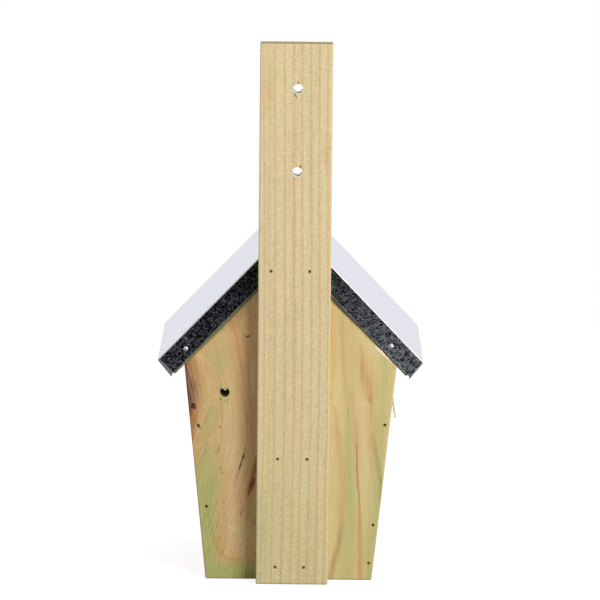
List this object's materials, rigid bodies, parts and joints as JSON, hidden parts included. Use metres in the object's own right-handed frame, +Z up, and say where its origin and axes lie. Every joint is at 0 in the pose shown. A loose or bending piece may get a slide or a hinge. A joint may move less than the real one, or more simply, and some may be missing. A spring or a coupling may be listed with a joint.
{
  "type": "bird nest box",
  "caption": "Pine nest box with tapered walls, a folded zinc gable roof, a tall rear batten to hang it by and a swing-out front with a round entrance.",
  "frame": {"origin": "the batten's foot, in the middle of its thickness, on the centre line of the box", "axes": "+Z up along the batten, +Y to the wall behind it, -Y out of the front, +X to the right seen from the front"},
  "size_m": [0.166, 0.1501, 0.34],
  "materials": {
    "batten_pine": "planed, green pressure-treated pine",
    "box_pine": "planed, green pressure-treated pine",
    "roof_pine": "planed, green pressure-treated pine",
    "zinc_sheet": "hot-dip galvanised, spangled",
    "dome_steel": "bright zinc-plated",
    "brad_steel": "dull bare wire",
    "plated_steel": "zinc-plated"
  },
  "bodies": {
    "box": {"rear_batten": "batten_pine", "back_panel": "box_pine", "right_wall": "box_pine", "left_wall": "box_pine", "floor_panel": "box_pine", "right_roof_board": "roof_pine", "left_roof_board": "roof_pine", "roof_sheet": "zinc_sheet", "right_pivot_nail": "plated_steel", "left_pivot_nail": "plated_steel", "batten_brads": "brad_steel", "right_wall_brads": "brad_steel", "left_wall_brads": "brad_steel", "right_floor_brads": "brad_steel", "left_floor_brads": "brad_steel", "right_roof_brads": "brad_steel", "left_roof_brads": "brad_steel", "rear_flange_nails": "dome_steel", "front_flange_nails": "dome_steel"},
    "front": {"front_panel": "box_pine"},
    "latch": {"latch_hook": "plated_steel"}
  },
  "joints": [
    {"name": "front_swing", "type": "hinge", "parent": "box", "child": "front", "pos_m": [0, -0.115, 0.12202], "axis": [-1, 0, 0], "range_deg": [0, 90]},
    {"name": "latch_turn", "type": "hinge", "parent": "box", "child": "latch", "pos_m": [0.0479, -0.122, 0.026], "axis": [0, 1, 0], "range_deg": [0, 90]}
  ]
}
